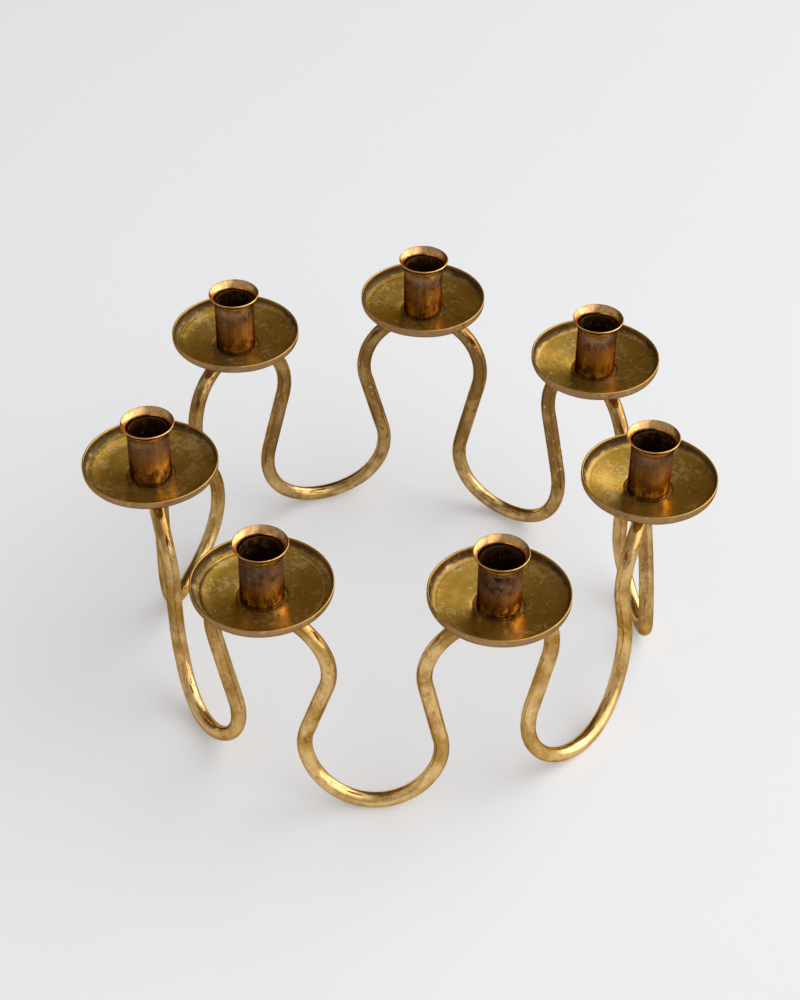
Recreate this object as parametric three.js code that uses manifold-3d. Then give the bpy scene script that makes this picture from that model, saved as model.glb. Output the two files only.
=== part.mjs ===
// A brass candelabra for a ring of candles. Bent rod runs round the ring as a wave: it stands on its
// lower bends, and each crest carries a drip dish and a flared candle cup, held by one hidden screw.
// Millimetres, +Z up, with the origin on the table under the middle of the whole piece.

import * as THREE from 'three';
import { mergeVertices } from 'three/addons/utils/BufferGeometryUtils.js';
import Module from 'manifold-3d';

const wasm = await Module();
wasm.setup();

// Ring
const ARMS = 7;
const RING_RADIUS = 143; // ring axis to the middle of the rod at a crest

// The bending is done by hand, so each crest, and the foot after it, stands a little off its even place:
// it drifts along the ring, anticlockwise positive as seen from above, and reaches outwards, the feet from
// the line of the crests. The dish sits a little off the top of its crest, along the ring.
const CREST_DRIFT = [-4, -2, 9, -2, -1, 3, -3];
const CREST_REACH = [-1, -1.5, 0.5, -1, 3.5, 0.5, 0.5];
const FOOT_DRIFT = [-2, -7, 1, -2, 0, -3, 0];
const FOOT_REACH = [-4, 8, 0, -4, -7, -3, 1];
const DISH_DRIFT = [1, 2, 0, 2, 1, 1, -3];

// Rod, with its bends measured to the middle of the rod
const ROD_DIAMETER = 9;
const CREST_BEND = 38;
const UNDERCUT = 13.5; // how far a lower bend reaches back under the crest beside it
const LEG_LENGTH = 42; // straight rod between a crest and a lower bend
const FOOT_FLAT = 0.4; // filed off the lowest point, where the rod stands
const SEAT_FLAT = 0.6; // filed off the crest, where the dish sits
const JOINT_OFFSET = 16; // the brazed butt joint lies this far before each crest, under the dish
const JOINT_GAP = 0.3;

// Drip dish, spun from sheet
const DISH_RADIUS = 38.4;
const DISH_DEPTH = 11.75; // rim down to the underside of the seat
const DISH_SHEET = 1;
const DISH_CORNER = 3.2; // inside radius between floor and wall
const CORNER_TURN = THREE.MathUtils.degToRad(60); // how far the corner turns up to the wall
const CREASE_RADIUS = 33; // where the floor turns up
const CREASE_DEPTH = 6.25; // rim down to the crease
const SEAT_RADIUS = 13.6; // pressed recess for the foot of the cup
const SEAT_DEPTH = 0.8;
const SEAT_SLOPE = 0.4;
const RIM_ROUND = 0.4;

// Candle cup
const CANDLE_BORE = 22;
const CUP_WALL = 0.9;
const CUP_HEIGHT = 38;
const CUP_FLOOR = 3;
const FOOT_CHAMFER = 0.5;
const LIP_RADIUS = 15.2;
const LIP_TURN = THREE.MathUtils.degToRad(60); // how far the lip turns outwards from upright

// Countersunk screw through the cup and the dish into the crest
const SCREW_DIAMETER = 4;
const SCREW_HEAD = 7.5;
const SCREW_HEAD_DEPTH = 2;
const SCREW_CLEARANCE = 0.3;
const SCREW_GRIP = 5.5; // length of screw inside the rod
const SLOT_WIDTH = 1.2;
const SLOT_DEPTH = 1;

// How finely round forms are drawn
const ROD_SIDES = 10;
const ROD_STEPS = 36;
const DISH_SEGMENTS = 24;
const CUP_SEGMENTS = 18;
const SCREW_SEGMENTS = 10;
const ARC_STEPS = 2;

const halfPitch = Math.PI * RING_RADIUS / ARMS;
const rodRadius = ROD_DIAMETER / 2;
const footLine = rodRadius - FOOT_FLAT;
const bendSum = halfPitch + UNDERCUT;
const crestLine = footLine + bendSum + Math.sqrt(LEG_LENGTH ** 2 + bendSum ** 2 - halfPitch ** 2);
const jointDrop = CREST_BEND - Math.sqrt(CREST_BEND ** 2 - JOINT_OFFSET ** 2);
const seatLevel = Math.fround(crestLine + rodRadius - SEAT_FLAT);
const boreRadius = CANDLE_BORE / 2;
const cupRadius = boreRadius + CUP_WALL;
const screwHole = SCREW_DIAMETER / 2 + SCREW_CLEARANCE;

function brass(name, color, roughness) {
  return new THREE.MeshStandardMaterial({ name, color, roughness, metalness: 1 });
}

const rodBrass = brass('rod_brass', 0xa97c3c, 0.36);
const dishBrass = brass('dish_brass', 0x9c7a30, 0.4);
const cupBrass = brass('cup_brass', 0x8c6238, 0.42);
const screwBrass = brass('screw_brass', 0x8a6f3a, 0.45);

// Direction of an arm's crest, seen from above. The first arm stands at +Y and they count clockwise.
function crestAngle(arm) {
  return Math.PI / 2 - arm * 2 * Math.PI / ARMS + CREST_DRIFT[arm] / RING_RADIUS;
}

// Middle of an arm's dish, cup and screw.
function dishPoint(arm, level) {
  const angle = crestAngle(arm) + DISH_DRIFT[arm] / RING_RADIUS;
  const radius = RING_RADIUS + CREST_REACH[arm];
  return new THREE.Vector3(radius * Math.cos(angle), radius * Math.sin(angle), level);
}

// One pitch of the rod drawn flat, x along the ring from the crest and y up from the table: an arc
// over the crest, a straight leg, an arc round the foot, a leg and an arc towards the next crest.
function flatWave(pitch, footDrift) {
  const footBend = pitch / 2 - CREST_BEND + UNDERCUT;
  const crestCentre = crestLine - CREST_BEND;
  const footCentre = footLine + footBend;
  const footPlace = pitch / 2 - footDrift;
  const drop = footCentre - crestCentre;
  const touch = (across) => Math.atan2(drop, across)
    + Math.acos((CREST_BEND + footBend) / Math.hypot(across, drop));
  const down = touch(footPlace);
  const up = touch(pitch - footPlace);
  const start = Math.PI / 2 + Math.asin(JOINT_OFFSET / CREST_BEND);
  const end = start + JOINT_GAP / CREST_BEND;
  const wave = new THREE.Path();
  wave.absarc(0, crestCentre, CREST_BEND, start, down, true);
  wave.absarc(footPlace, footCentre, footBend, Math.PI + down, 2 * Math.PI - up, false);
  wave.absarc(pitch, crestCentre, CREST_BEND, Math.PI - up, end, true);
  return wave;
}

// The flat wave wrapped round the ring. Its radius changes only between the joints' places beside the two
// crests, so that the lengths of rod line up there.
class RodLine extends THREE.Curve {
  constructor(arm) {
    super();
    const next = (arm + 1) % ARMS;
    this.startAngle = crestAngle(arm);
    this.pitch = (this.startAngle - crestAngle(next) + 2 * Math.PI) % (2 * Math.PI) * RING_RADIUS;
    this.wave = flatWave(this.pitch, FOOT_DRIFT[arm]);
    this.reach = [CREST_REACH[arm], CREST_REACH[next], FOOT_REACH[arm]];
  }

  getPoint(t, target = new THREE.Vector3()) {
    const flat = this.wave.getPointAt(t);
    const onward = THREE.MathUtils.smoothstep(flat.x, JOINT_OFFSET, this.pitch - JOINT_OFFSET);
    const lowness = THREE.MathUtils.smoothstep(crestLine - flat.y, jointDrop, crestLine - footLine);
    const [crest, nextCrest, foot] = this.reach;
    const radius = RING_RADIUS + THREE.MathUtils.lerp(crest, nextCrest, onward) + foot * lowness;
    const angle = this.startAngle - flat.x / RING_RADIUS;
    return target.set(radius * Math.cos(angle), radius * Math.sin(angle), flat.y);
  }

  // The section keeps one face towards the ring's axis, so the rod never twists and its ends line up.
  computeFrenetFrames(segments) {
    const frames = { tangents: [], normals: [], binormals: [] };
    for (let i = 0; i <= segments; i++) {
      const tangent = this.getTangentAt(i / segments);
      const normal = this.getPointAt(i / segments).setZ(0).projectOnPlane(tangent).normalize();
      frames.tangents.push(tangent);
      frames.normals.push(normal);
      frames.binormals.push(new THREE.Vector3().crossVectors(tangent, normal));
    }
    return frames;
  }
}

function toSolid(geometry) {
  const bare = geometry.clone();
  bare.deleteAttribute('normal');
  bare.deleteAttribute('uv');
  const merged = mergeVertices(bare, 1e-4);
  return new wasm.Manifold(new wasm.Mesh({
    numProp: 3,
    vertProperties: new Float32Array(merged.attributes.position.array),
    triVerts: new Uint32Array(merged.index.array),
  }));
}

function toGeometry(solid) {
  const mesh = solid.getMesh();
  const geometry = new THREE.BufferGeometry();
  geometry.setAttribute('position', new THREE.BufferAttribute(mesh.vertProperties, 3));
  geometry.setIndex(new THREE.BufferAttribute(mesh.triVerts, 1));
  geometry.computeVertexNormals();
  return geometry;
}

// A solid of revolution about Z from a closed outline of [radius, height] points.
function revolve(outline, segments) {
  const points = [...outline, outline[0]].map(([radius, height]) => new THREE.Vector2(radius, height));
  return new THREE.LatheGeometry(points, segments).rotateX(Math.PI / 2);
}

// Points of an arc in an outline, from one angle to another in equal steps.
function arc([x, y], radius, from, to, steps) {
  const angles = Array.from({ length: steps + 1 }, (_, i) => from + (to - from) * i / steps);
  return angles.map((angle) => [x + radius * Math.cos(angle), y + radius * Math.sin(angle)]);
}

function regularPolygon(radius, sides) {
  const corners = arc([0, 0], radius, Math.PI / 2, 2.5 * Math.PI, sides).slice(0, sides);
  return new THREE.Shape(corners.map(([x, y]) => new THREE.Vector2(x, y)));
}

// Everything between two levels, wider than the ring.
function slab(low, high) {
  const width = 4 * RING_RADIUS;
  return toSolid(new THREE.BoxGeometry(width, width, high - low).translate(0, 0, (low + high) / 2));
}

// One length of rod: over its own crest, down round the foot and up to the joint under the next dish.
function bentRod(arm) {
  const section = regularPolygon(rodRadius, ROD_SIDES);
  const extrusion = { steps: ROD_STEPS, extrudePath: new RodLine(arm), bevelEnabled: false };
  const bar = new THREE.ExtrudeGeometry(section, extrusion);
  const depth = SCREW_GRIP + SCREW_CLEARANCE;
  const hole = new THREE.CylinderGeometry(screwHole, screwHole, 2 * depth, SCREW_SEGMENTS);
  hole.rotateX(Math.PI / 2).translate(...dishPoint(arm, seatLevel));
  return toGeometry(toSolid(bar)
    .subtract(slab(seatLevel, seatLevel + ROD_DIAMETER))
    .subtract(slab(-ROD_DIAMETER, 0))
    .subtract(toSolid(hole)));
}

// Spun dish: a low cone that falls to a pressed seat in the middle, with an upright wall round it.
function dripDish() {
  const creaseLevel = DISH_DEPTH - CREASE_DEPTH;
  const cornerCentre = [DISH_RADIUS - DISH_SHEET - DISH_CORNER, creaseLevel + DISH_CORNER];
  const seatEdge = SEAT_RADIUS + SEAT_SLOPE;
  return revolve([
    [screwHole, 0],
    [SEAT_RADIUS, 0],
    [seatEdge, SEAT_DEPTH],
    [CREASE_RADIUS, creaseLevel - DISH_SHEET],
    ...arc(cornerCentre, DISH_CORNER + DISH_SHEET, -CORNER_TURN, 0, ARC_STEPS),
    [DISH_RADIUS, DISH_DEPTH - RIM_ROUND],
    [DISH_RADIUS - DISH_SHEET / 2, DISH_DEPTH],
    [DISH_RADIUS - DISH_SHEET, DISH_DEPTH - RIM_ROUND],
    ...arc(cornerCentre, DISH_CORNER, 0, -CORNER_TURN, ARC_STEPS),
    [CREASE_RADIUS, creaseLevel],
    [seatEdge, DISH_SHEET + SEAT_DEPTH],
    [SEAT_RADIUS, DISH_SHEET],
    [screwHole, DISH_SHEET],
  ], DISH_SEGMENTS);
}

// Tube with a floor, its top rolled outwards into a trumpet lip of even wall.
function candleCup() {
  const lipBend = (LIP_RADIUS - cupRadius) / (1 - Math.cos(LIP_TURN));
  const lipCentre = [cupRadius + lipBend, CUP_HEIGHT - (lipBend + CUP_WALL) * Math.sin(LIP_TURN)];
  return revolve([
    [screwHole, 0],
    [cupRadius - FOOT_CHAMFER, 0],
    [cupRadius, FOOT_CHAMFER],
    ...arc(lipCentre, lipBend, Math.PI, Math.PI - LIP_TURN, ARC_STEPS),
    ...arc(lipCentre, lipBend + CUP_WALL, Math.PI - LIP_TURN, Math.PI, ARC_STEPS),
    [boreRadius, CUP_FLOOR],
    [SCREW_HEAD / 2 + SCREW_CLEARANCE, CUP_FLOOR],
    [screwHole, CUP_FLOOR - SCREW_HEAD_DEPTH],
  ], CUP_SEGMENTS);
}

// Slotted countersunk screw, its flat head level with the cup's floor at height zero.
function cupScrew() {
  const length = CUP_FLOOR + DISH_SHEET + SCREW_GRIP;
  const body = revolve([
    [0, -length],
    [SCREW_DIAMETER / 2, -length],
    [SCREW_DIAMETER / 2, -SCREW_HEAD_DEPTH],
    [SCREW_HEAD / 2, 0],
    [0, 0],
  ], SCREW_SEGMENTS);
  const slot = new THREE.BoxGeometry(SCREW_HEAD * 2, SLOT_WIDTH, SLOT_DEPTH * 2);
  return toGeometry(toSolid(body).subtract(toSolid(slot)));
}

function place(name, geometry, material, position = new THREE.Vector3()) {
  const mesh = new THREE.Mesh(geometry, material);
  mesh.name = name;
  mesh.position.copy(position);
  return mesh;
}

const candelabra = new THREE.Group();
for (let arm = 0; arm < ARMS; arm++) {
  const number = arm + 1;
  const cupLevel = seatLevel + DISH_SHEET;
  const screwLevel = cupLevel + CUP_FLOOR;
  candelabra.add(
    place(`bent_rod_${number}`, bentRod(arm), rodBrass),
    place(`drip_dish_${number}`, dripDish(), dishBrass, dishPoint(arm, seatLevel)),
    place(`candle_cup_${number}`, candleCup(), cupBrass, dishPoint(arm, cupLevel)),
    place(`cup_screw_${number}`, cupScrew(), screwBrass, dishPoint(arm, screwLevel)),
  );
}

// An odd number of arms isn't balanced about the ring's axis, so the middle of the box is found here.
const middle = new THREE.Box3().setFromObject(candelabra).getCenter(new THREE.Vector3());
candelabra.position.set(-middle.x, -middle.y, 0);

export default candelabra;
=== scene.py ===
"""An aged brass candelabra, finished and lit for its picture.

A ring of bent rod stands on its lower bends, and each of its crests carries a spun drip dish, a turned
candle cup and the slotted screw that holds them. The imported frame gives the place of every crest; the
classes below lay a smooth, finished surface over each piece there. Lengths are in metres, +Z is up.
"""

import logging
import math
from collections.abc import Sequence
from dataclasses import dataclass, field
from enum import Enum

import bpy
import numpy as np
from mathutils import Matrix, Vector


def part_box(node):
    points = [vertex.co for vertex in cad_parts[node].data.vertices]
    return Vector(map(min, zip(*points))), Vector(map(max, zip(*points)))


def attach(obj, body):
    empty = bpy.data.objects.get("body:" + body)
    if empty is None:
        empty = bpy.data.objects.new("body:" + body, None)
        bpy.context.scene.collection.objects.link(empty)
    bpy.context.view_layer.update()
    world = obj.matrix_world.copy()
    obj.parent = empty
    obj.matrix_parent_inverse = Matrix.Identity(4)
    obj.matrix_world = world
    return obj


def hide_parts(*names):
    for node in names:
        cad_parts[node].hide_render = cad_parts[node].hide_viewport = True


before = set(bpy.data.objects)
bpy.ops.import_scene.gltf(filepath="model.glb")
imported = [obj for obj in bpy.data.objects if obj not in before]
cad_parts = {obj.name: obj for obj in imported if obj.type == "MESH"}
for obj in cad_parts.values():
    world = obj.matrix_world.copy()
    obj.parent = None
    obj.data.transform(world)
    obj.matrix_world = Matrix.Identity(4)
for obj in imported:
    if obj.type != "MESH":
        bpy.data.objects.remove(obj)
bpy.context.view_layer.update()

log = logging.getLogger("candelabra")

BODY = "root"
SPACE = "piece_space"
# Masks of the mesh: wear with painted light, dirt with painted shade, and brown film with painted shade.
WEAR_AND_LIGHT = "wear_and_light"
SHADE_AND_GRIME = "shade_and_grime"
BROWN_FILM_AND_SHADE = "brown_film_and_shade"

Pair = tuple[float, float]
Triple = tuple[float, float, float]
Colour = tuple[float, float, float, float]
Socket = bpy.types.NodeSocket
Value = Socket | float | tuple[float, ...]

# Steps along the patterns of a finish from one piece to the next, so that no two pieces look alike
ROD_STEP, DISH_STEP, CUP_STEP, SCREW_STEP = 0.7, 0.31, 0.53, 0.17


class Slot(Enum):
    """The record's material slots."""

    ROD = "rod_brass"
    DISH = "dish_brass"
    CUP = "cup_brass"
    SCREW = "screw_brass"


class Channel(Enum):
    """Kinds of socket that the shared shader groups take and give."""

    NUMBER = "NodeSocketFloat"
    COLOUR = "NodeSocketColor"
    VECTOR = "NodeSocketVector"


# Places of the parts


@dataclass(frozen=True)
class Arm:
    """How far one arm, bent by hand, stands off its even place.

    A drift runs along the ring, anticlockwise as seen from above, and a reach runs outwards.

    Attributes:
        crest_drift: Drift of the crest.
        crest_reach: Reach of the crest.
        foot_drift: Drift of the foot after the crest.
        foot_reach: Reach of that foot from the line of the crests.
        dish_drift: Drift of the dish from the top of its crest.
        tarnish: How brown and dark its length of rod is drawn, from 0 to 1: its tarnish, and painted shade on
            the back arms.
    """

    crest_drift: float
    crest_reach: float
    foot_drift: float
    foot_reach: float
    dish_drift: float
    tarnish: float


RING_RADIUS = 0.143

# Drift and reach of the crest, drift and reach of the foot, drift of the dish, and tarnish, which is also
# painted shade on the back arms. The first arm stands at +Y, and they go on clockwise in the order of the
# nodes.
ARMS = (
    Arm(-0.004, -0.001, -0.002, -0.004, 0.001, 0.95),
    Arm(-0.002, -0.0015, -0.007, 0.008, 0.002, 0.5),
    Arm(0.009, 0.0005, 0.001, 0.0, 0.0, 0.2),
    Arm(-0.002, -0.001, -0.002, -0.004, 0.002, 0.15),
    Arm(-0.001, 0.0035, 0.0, -0.007, 0.001, 0.35),
    Arm(0.003, 0.0005, -0.003, -0.003, 0.001, 0.65),
    Arm(-0.003, 0.0005, 0.0, 0.001, -0.003, 0.95),
)


@dataclass(frozen=True)
class RingLayout:
    """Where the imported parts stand, read from the boxes of the frame's nodes.

    Attributes:
        dishes: The middle of each dish and cup in plan, in the order of the nodes' numbers.
        bearings: The direction of each crest from the ring's axis, in radians.
        axis: The ring's vertical axis in plan.
        seat_level: The flat on the crests, on which the dishes lie.
        cup_level: The seats of the cups in the dishes.
        floor_level: The floors of the cups, level with the screws' heads.
    """

    dishes: np.ndarray
    bearings: np.ndarray
    axis: np.ndarray
    seat_level: float
    cup_level: float
    floor_level: float

    @classmethod
    def from_frame(cls) -> "RingLayout":
        """Reads the boxes of the cups, dishes and screws, and finds the axis that the arms stand round.

        The first crest stands at +Y and they follow clockwise in even turns, apart from their drifts.

        Returns:
            The layout.
        """
        cups = np.array([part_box(f"candle_cup_{arm + 1}") for arm in range(len(ARMS))])
        dishes = cups.mean(axis=1)[:, :2]
        even = math.pi / 2 - np.arange(len(ARMS)) * 2 * math.pi / len(ARMS)
        bearings = even + np.array([arm.crest_drift for arm in ARMS]) / RING_RADIUS
        towards = bearings + np.array([arm.dish_drift for arm in ARMS]) / RING_RADIUS
        reach = RING_RADIUS + np.array([[arm.crest_reach] for arm in ARMS])
        return cls(
            dishes=dishes,
            bearings=bearings,
            axis=(dishes - reach * np.column_stack([np.cos(towards), np.sin(towards)])).mean(axis=0),
            seat_level=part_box("drip_dish_1")[0].z,
            cup_level=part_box("candle_cup_1")[0].z,
            floor_level=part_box("cup_screw_1")[1].z,
        )


# Surfaces


def filleted(outline: Sequence[Triple], arc_steps: int, run_steps: int) -> np.ndarray:
    """Rounds every corner of a closed outline and fills its straight runs with points.

    At a corner with fillet r and half angle h between its sides, the arc starts and ends r / tan h from
    the corner and its centre lies r / sin h away along the bisector. Its points turn evenly from one end
    to the other.

    Args:
        outline: Corners as (radius, height, fillet), anticlockwise with radius to the right.
        arc_steps: Steps in each rounded corner.
        run_steps: Steps in each straight run.

    Returns:
        Points as an array of (radius, height).
    """
    corners = np.array(outline)
    points, fillets = corners[:, :2], corners[:, 2:]
    before = np.roll(points, 1, axis=0) - points
    after = np.roll(points, -1, axis=0) - points
    before /= np.linalg.norm(before, axis=1, keepdims=True)
    after /= np.linalg.norm(after, axis=1, keepdims=True)
    half = np.arccos(np.clip((before * after).sum(axis=1, keepdims=True), -1, 1)) / 2
    bisector = before + after
    bisector /= np.linalg.norm(bisector, axis=1, keepdims=True)
    centres = points + bisector * fillets / np.sin(half)
    first = points + before * fillets / np.tan(half) - centres
    last = points + after * fillets / np.tan(half) - centres
    sweep = (math.pi - 2 * half)[:, None]
    share = np.linspace(0, 1, arc_steps + 1)[None, :, None]
    arcs = np.sin((1 - share) * sweep) * first[:, None] + np.sin(share * sweep) * last[:, None]
    arcs = centres[:, None] + arcs / np.sin(sweep)
    share = np.linspace(0, 1, run_steps + 1)[None, 1:-1, None]
    next_starts = np.roll(arcs[:, :1], -1, axis=0)
    runs = arcs[:, -1:] * (1 - share) + next_starts * share
    return np.concatenate([arcs, runs], axis=1).reshape(-1, 2)


def smooth_step(value: np.ndarray, low: float, high: float) -> np.ndarray:
    """3 s^2 - 2 s^3, where s goes evenly from 0 at low to 1 at high."""
    share = np.clip((value - low) / (high - low), 0, 1)
    return share * share * (3 - 2 * share)


def closeness(distance: np.ndarray, reach: float) -> np.ndarray:
    """How near a distance is to nothing: 1 at 0, falling off as exp(-(distance / reach)^2)."""
    return np.exp(-((distance / reach) ** 2))


def near(points: np.ndarray, target: Pair, reach: float) -> np.ndarray:
    """How near each point of a section is to a target, as a closeness for each row of its grid."""
    return closeness(np.linalg.norm(points - np.array(target), axis=-1), reach)[:, None]


def lobes(turn: np.ndarray, arm: int, *parts: Triple) -> np.ndarray:
    """The sum of some sines round the axis, each by its strength, its lobes and its shift for each arm."""
    return sum(strength * np.sin(count * turn + shift * arm) for strength, count, shift in parts)


def revolved(profile: np.ndarray, sides: int) -> np.ndarray:
    """Turns a profile round the Z axis: (radius cos t, radius sin t, height) at even steps of t.

    Args:
        profile: Points as (radius, height).
        sides: Steps round the axis.

    Returns:
        A grid of points, one row for each point of the profile.
    """
    turn = np.linspace(0, 2 * math.pi, sides, endpoint=False)
    radius, height = profile[:, :1], profile[:, 1:].repeat(sides, axis=1)
    return np.stack([radius * np.cos(turn), radius * np.sin(turn), height], axis=-1)


def grid_mesh(name: str, grid: np.ndarray, closed: bool, space: np.ndarray,
              masks: dict[str, np.ndarray | float]) -> bpy.types.Mesh:
    """Makes a mesh from a grid of points whose rows are closed loops.

    Each face joins (row, column), (row, column + 1), (row + 1, column + 1) and (row + 1, column), which
    faces outwards where the columns turn anticlockwise about the direction of the rows.

    Args:
        name: The mesh's name.
        grid: Points as (rows, columns, 3).
        closed: Whether the last row joins the first. Otherwise both ends get a flat cap.
        space: The same grid in the piece's own coordinates, for the patterns of its finish.
        masks: Values from 0 to 1 for each point, by the name of their attribute.

    Returns:
        The mesh, shaded smooth apart from its caps.
    """
    rows, columns = grid.shape[:2]
    row = np.arange(rows if closed else rows - 1)[:, None] * columns
    ahead = (row + columns) % (rows * columns)
    column = np.arange(columns)[None, :]
    across = (column + 1) % columns
    corners = (row + column, row + across, ahead + across, ahead + column)
    faces = np.stack(corners, axis=-1).reshape(-1, 4).tolist()
    walls = len(faces)
    if not closed:
        ring = np.arange(columns)
        faces += [ring[::-1].tolist(), (ring + (rows - 1) * columns).tolist()]
    mesh = bpy.data.meshes.new(name)
    mesh.from_pydata(grid.reshape(-1, 3), [], faces)
    smooth = np.arange(len(faces)) < walls
    mesh.polygons.foreach_set("use_smooth", smooth)
    mesh.attributes.new(SPACE, "FLOAT_VECTOR", "POINT").data.foreach_set("vector", space.ravel())
    for mask, values in masks.items():
        values = np.broadcast_to(values, (rows, columns)).ravel()
        mesh.attributes.new(mask, "FLOAT", "POINT").data.foreach_set("value", values)
    mesh.validate()
    mesh.update()
    return mesh


def in_scene(name: str, data: bpy.types.ID) -> bpy.types.Object:
    """Makes an object and links it to the scene.

    Args:
        name: Its name.
        data: Its mesh, lamp or camera.

    Returns:
        The object.
    """
    made = bpy.data.objects.new(name, data)
    bpy.context.scene.collection.objects.link(made)
    return made


def add_piece(mesh: bpy.types.Mesh, node: str, material: bpy.types.Material) -> None:
    """Puts a finished mesh in the scene in place of a node of the frame.

    Args:
        mesh: The mesh, already in its place.
        node: The node that it stands for.
        material: Its finish.
    """
    mesh.materials.append(material)
    piece = in_scene(mesh.name, mesh)
    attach(piece, BODY)
    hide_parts(node)
    log.info("%s: %d faces", piece.name, len(mesh.polygons))


# Shader nodes


class NodeSketch:
    """Adds and joins the nodes of one shader tree."""

    def __init__(self, tree: bpy.types.NodeTree) -> None:
        """Starts on an empty tree."""
        self.tree = tree
        tree.nodes.clear()

    def node(self, kind: str, inputs: dict | None = None, **settings: object) -> bpy.types.Node:
        """Adds a node.

        Args:
            kind: The node's type without its ShaderNode prefix, or a group's end node in full.
            inputs: For an input's name or number, a socket to join to it or a value to set.
            **settings: Properties of the node itself.

        Returns:
            The node.
        """
        node = self.tree.nodes.new(kind if kind.startswith("Node") else f"ShaderNode{kind}")
        for name, value in settings.items():
            setattr(node, name, value)
        for name, value in (inputs or {}).items():
            if isinstance(value, Socket):
                self.tree.links.new(value, node.inputs[name])
            else:
                node.inputs[name].default_value = value
        return node

    def group(self, tree: bpy.types.NodeTree, inputs: dict) -> bpy.types.NodeOutputs:
        """Adds a node for a shared group and gives its outputs."""
        return self.node("Group", inputs, node_tree=tree).outputs

    def maths(self, operation: str, *values: Value) -> Socket:
        """One step of arithmetic on numbers or sockets."""
        return self.node("Math", dict(enumerate(values)), operation=operation).outputs[0]

    def times(self, *values: Value) -> Socket:
        """The product of two numbers, plus a third if there is one."""
        return self.maths("MULTIPLY" if len(values) == 2 else "MULTIPLY_ADD", *values)

    def most(self, first: Value, second: Value) -> Socket:
        """The greater of two numbers."""
        return self.maths("MAXIMUM", first, second)

    def dot(self, first: Value, second: Value) -> Socket:
        """The dot product of two vectors."""
        return self.node("VectorMath", {0: first, 1: second}, operation="DOT_PRODUCT").outputs["Value"]

    def mix(self, share: Value, first: Value, second: Value, blend: str = "MIX") -> Socket:
        """Mixes two colours by a share from 0, the first, to 1, the second."""
        inputs = {0: share, 6: first, 7: second}
        return self.node("Mix", inputs, data_type="RGBA", blend_type=blend).outputs[2]

    def shaded(self, colour: Value, level: Value) -> Socket:
        """A colour times a level."""
        grey = self.node("CombineColor", {"Red": level, "Green": level, "Blue": level}).outputs[0]
        return self.mix(1.0, colour, grey, blend="MULTIPLY")

    def step(self, value: Value, low: Value, high: Value) -> Socket:
        """A smooth step from 0 at low to 1 at high."""
        inputs = {"Value": value, "From Min": low, "From Max": high}
        return self.node("MapRange", inputs, interpolation_type="SMOOTHSTEP").outputs[0]

    def spread(self, pattern: Value, amount: Value, none: float, full: float, edge: float) -> Socket:
        """Patches that grow as an amount goes from 0 to 1.

        Args:
            pattern: The noise whose peaks they are.
            amount: How far they have spread.
            none: The level of the noise at which they start where the amount is 0.
            full: The same level where the amount is 1.
            edge: Width of their soft edges, in levels of the noise.

        Returns:
            0 between the patches and 1 in them.
        """
        low = self.times(amount, full - none, none)
        return self.step(pattern, low, self.maths("ADD", low, edge))

    def noise(self, place: Value, scale: Value, detail: float = 4.0, rough: float = 0.55) -> Socket:
        """Cloudy noise, about 0.5 on average."""
        inputs = {"Vector": place, "Scale": scale, "Detail": detail, "Roughness": rough}
        return self.node("TexNoise", inputs).outputs["Fac"]

    def swing(self, noise: Value) -> Socket:
        """Noise less its average."""
        return self.maths("SUBTRACT", noise, 0.5)

    def scaled(self, place: Value, scale: Triple) -> Socket:
        """Coordinates scaled along each axis."""
        return self.node("Mapping", {"Vector": place, "Scale": scale}).outputs[0]

    def attribute(self, name: str, output: str = "Fac") -> Socket:
        """An attribute of the mesh, as its Fac or its Vector output."""
        return self.node("Attribute", attribute_name=name, attribute_type="GEOMETRY").outputs[output]

    def send(self, target: bpy.types.Node, **values: Socket) -> None:
        """Joins sockets to a node's inputs by name."""
        for name, value in values.items():
            self.tree.links.new(value, target.inputs[name])


def shader_group(
    name: str, inputs: dict[Channel, Sequence[str]], outputs: dict[Channel, Sequence[str]]
) -> tuple[NodeSketch, bpy.types.NodeOutputs, bpy.types.Node]:
    """Makes an empty shader group with named sockets.

    Args:
        name: The group's name.
        inputs: The names of what it takes, by their kind.
        outputs: The names of what it gives, by their kind.

    Returns:
        A sketch to fill it with, the sockets of what it takes and its output node.
    """
    tree = bpy.data.node_groups.new(name, "ShaderNodeTree")
    for sockets, direction in ((inputs, "INPUT"), (outputs, "OUTPUT")):
        for channel, names in sockets.items():
            for socket in names:
                tree.interface.new_socket(socket, in_out=direction, socket_type=channel.value)
    sketch = NodeSketch(tree)
    return sketch, sketch.node("NodeGroupInput").outputs, sketch.node("NodeGroupOutput")


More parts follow.
